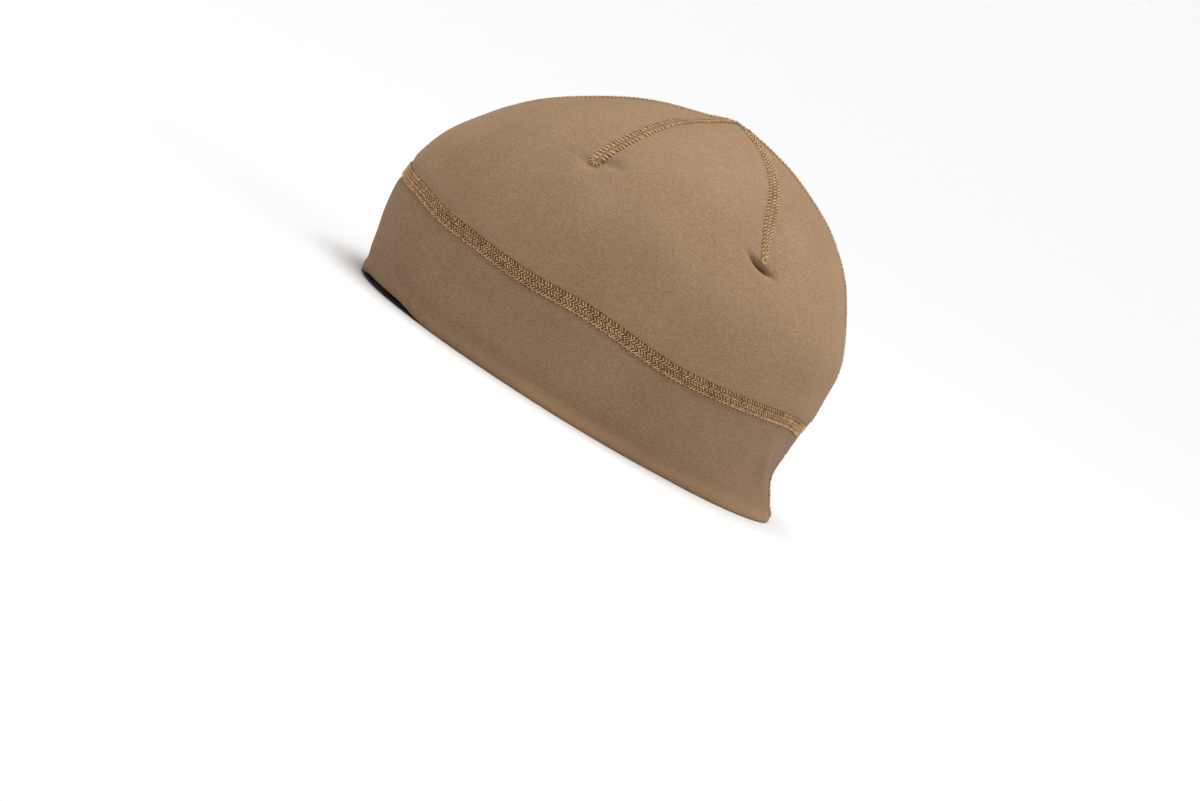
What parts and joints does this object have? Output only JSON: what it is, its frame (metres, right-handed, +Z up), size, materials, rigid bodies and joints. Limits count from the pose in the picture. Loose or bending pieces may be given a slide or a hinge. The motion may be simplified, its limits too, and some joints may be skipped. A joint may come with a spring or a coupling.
{
  "type": "beanie",
  "caption": "Stretch-jersey skull cap with a darted crown, a wide doubled band with a folded hem and flat stitched seams.",
  "frame": {"origin": "on the floor under the rim, midway along the cap's length and width", "axes": "+Z up from the rim to the peak, +Y towards the nape, +X towards the wearer's left"},
  "size_m": [0.1584, 0.2048, 0.1338],
  "materials": {
    "crown_jersey": "matt fine jersey",
    "band_jersey": "matt fine jersey, two layers",
    "seam_thread": "soft lustrous thread"
  },
  "bodies": {
    "root": {"crown": "crown_jersey", "band": "band_jersey", "band_seam": "seam_thread", "middle_seam": "seam_thread", "nape_seam": "seam_thread", "left_front_seam": "seam_thread", "left_rear_seam": "seam_thread", "right_rear_seam": "seam_thread", "right_front_seam": "seam_thread"}
  },
  "joints": []
}
